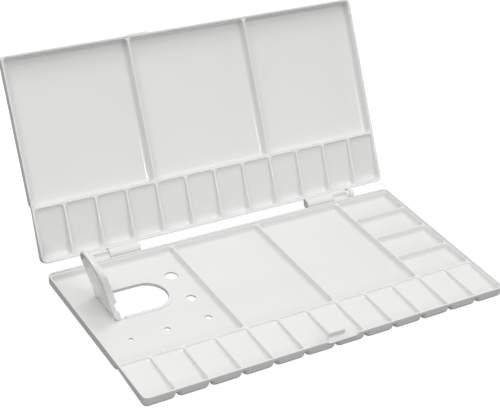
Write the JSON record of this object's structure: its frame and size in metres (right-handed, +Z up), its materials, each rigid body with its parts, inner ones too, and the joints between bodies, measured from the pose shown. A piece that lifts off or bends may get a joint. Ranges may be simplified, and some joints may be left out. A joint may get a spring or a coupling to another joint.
{
  "type": "mixing palette",
  "caption": "Folding paint palette: base tray and lid tray of wells and mixing pans on barrel hinges, with a flap over the thumb hole.",
  "frame": {"origin": "centre of the base tray's underside, where it lies on the table", "axes": "+X along the width to the side wells, +Y from the front wells to the hinges, +Z up"},
  "size_m": [0.276, 0.2215, 0.1308],
  "materials": {
    "shell": "semi-gloss white moulding",
    "pin": "plain white rod"
  },
  "bodies": {
    "base": {"base_rim": "shell", "front_well_01": "shell", "front_well_02": "shell", "front_well_03": "shell", "front_well_04": "shell", "front_well_05": "shell", "front_well_06": "shell", "front_well_07": "shell", "front_well_08": "shell", "front_well_09": "shell", "front_well_10": "shell", "front_well_11": "shell", "front_well_12": "shell", "side_well_1": "shell", "side_well_2": "shell", "side_well_3": "shell", "side_well_4": "shell", "mixing_pan_1": "shell", "mixing_pan_2": "shell", "thumb_surround": "shell", "thumb_panel": "shell", "thumb_lip": "shell", "flap_ear_front": "shell", "flap_ear_back": "shell", "flap_pin": "pin", "clasp_tab": "shell", "hinge_knuckle_left": "shell", "hinge_knuckle_right": "shell", "hinge_pin_left": "pin", "hinge_pin_right": "pin"},
    "lid": {"lid_rim": "shell", "lid_well_01": "shell", "lid_well_02": "shell", "lid_well_03": "shell", "lid_well_04": "shell", "lid_well_05": "shell", "lid_well_06": "shell", "lid_well_07": "shell", "lid_well_08": "shell", "lid_well_09": "shell", "lid_well_10": "shell", "lid_well_11": "shell", "lid_well_12": "shell", "lid_pan_1": "shell", "lid_pan_2": "shell", "lid_pan_3": "shell", "lid_barrel_left": "shell", "lid_barrel_right": "shell", "lid_ear_left": "shell", "lid_ear_right": "shell"},
    "flap": {"flap_cover": "shell", "flap_plug": "shell", "flap_barrel": "shell", "flap_lug_front": "shell", "flap_lug_back": "shell"}
  },
  "joints": [
    {"name": "lid_hinge", "type": "hinge", "parent": "base", "child": "lid", "pos_m": [0, 0.0727, 0.0085], "axis": [-1, 0, 0], "range_deg": [-121, 59]},
    {"name": "flap_hinge", "type": "hinge", "parent": "base", "child": "flap", "pos_m": [-0.114, 0.0281, 0.00375], "axis": [0, -1, 0], "range_deg": [-109.6, 53.6]}
  ],
  "couplings": [
    {"joint": "flap_hinge", "follows": "lid_hinge", "ratio": 0.90578}
  ]
}
